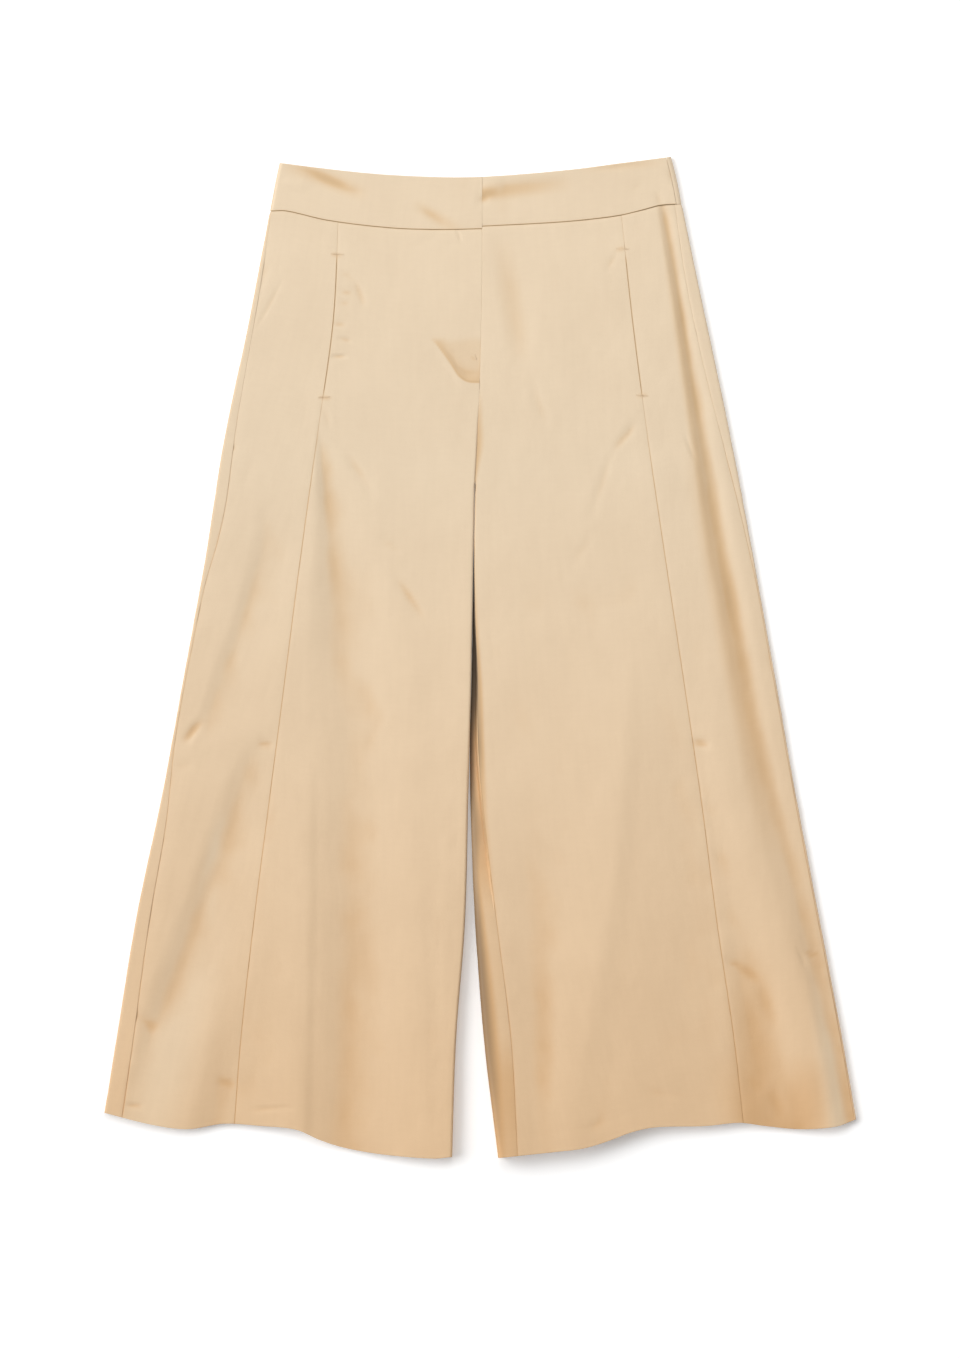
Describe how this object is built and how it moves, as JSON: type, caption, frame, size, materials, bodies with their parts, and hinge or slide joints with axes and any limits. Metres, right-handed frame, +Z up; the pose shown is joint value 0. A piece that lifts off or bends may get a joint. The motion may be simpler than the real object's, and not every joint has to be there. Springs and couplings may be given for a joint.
{
  "type": "wide-leg culottes",
  "caption": "Flared cropped cotton culottes lying flat and face up, with a shaped waistband, fly front and slit pockets in the panel seams.",
  "frame": {"origin": "centre of the garment's outline, on the surface that it lies on", "axes": "+Z up from the surface, +Y from the hems towards the waist, +X towards the wearer's left"},
  "size_m": [0.707, 0.9421, 0.0256],
  "materials": {
    "sateen": "sand cotton sateen, soft low sheen",
    "pocketing": "plain matt cotton pocketing"
  },
  "bodies": {
    "root": {"waistband_front_right": "sateen", "waistband_front_left": "sateen", "waistband_back": "sateen", "front_centre_right": "sateen", "front_centre_left": "sateen", "front_side_right": "sateen", "front_side_left": "sateen", "back_right": "sateen", "back_left": "sateen", "fly_shield": "sateen", "pocket_bag_right": "pocketing", "pocket_bag_left": "pocketing"}
  },
  "joints": []
}
